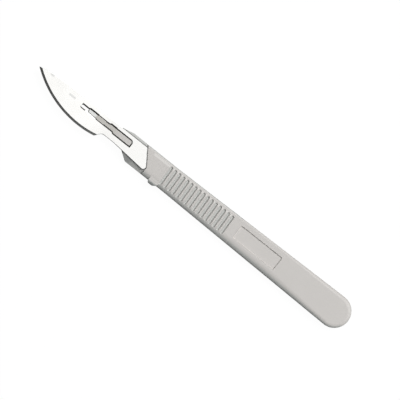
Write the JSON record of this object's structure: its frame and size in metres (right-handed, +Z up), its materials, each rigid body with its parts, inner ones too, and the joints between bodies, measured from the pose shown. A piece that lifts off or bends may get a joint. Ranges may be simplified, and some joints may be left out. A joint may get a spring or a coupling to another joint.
{
  "type": "disposable scalpel",
  "caption": "Slim plastic handle with grip grooves and a fixed steel blade on a keyhole slot, for making fine cuts.",
  "frame": {"origin": "middle of the footprint, on the surface that the back face rests on", "axes": "+X along the handle from the blade's point to the tail, +Y towards the blade's back, +Z up out of the front face"},
  "size_m": [0.15, 0.0128, 0.0046],
  "materials": {
    "handle_plastic": "satin moulded light grey plastic",
    "blade_steel": "bright polished steel with a darker ground edge"
  },
  "bodies": {
    "root": {"handle": "handle_plastic", "blade": "blade_steel"}
  },
  "joints": []
}
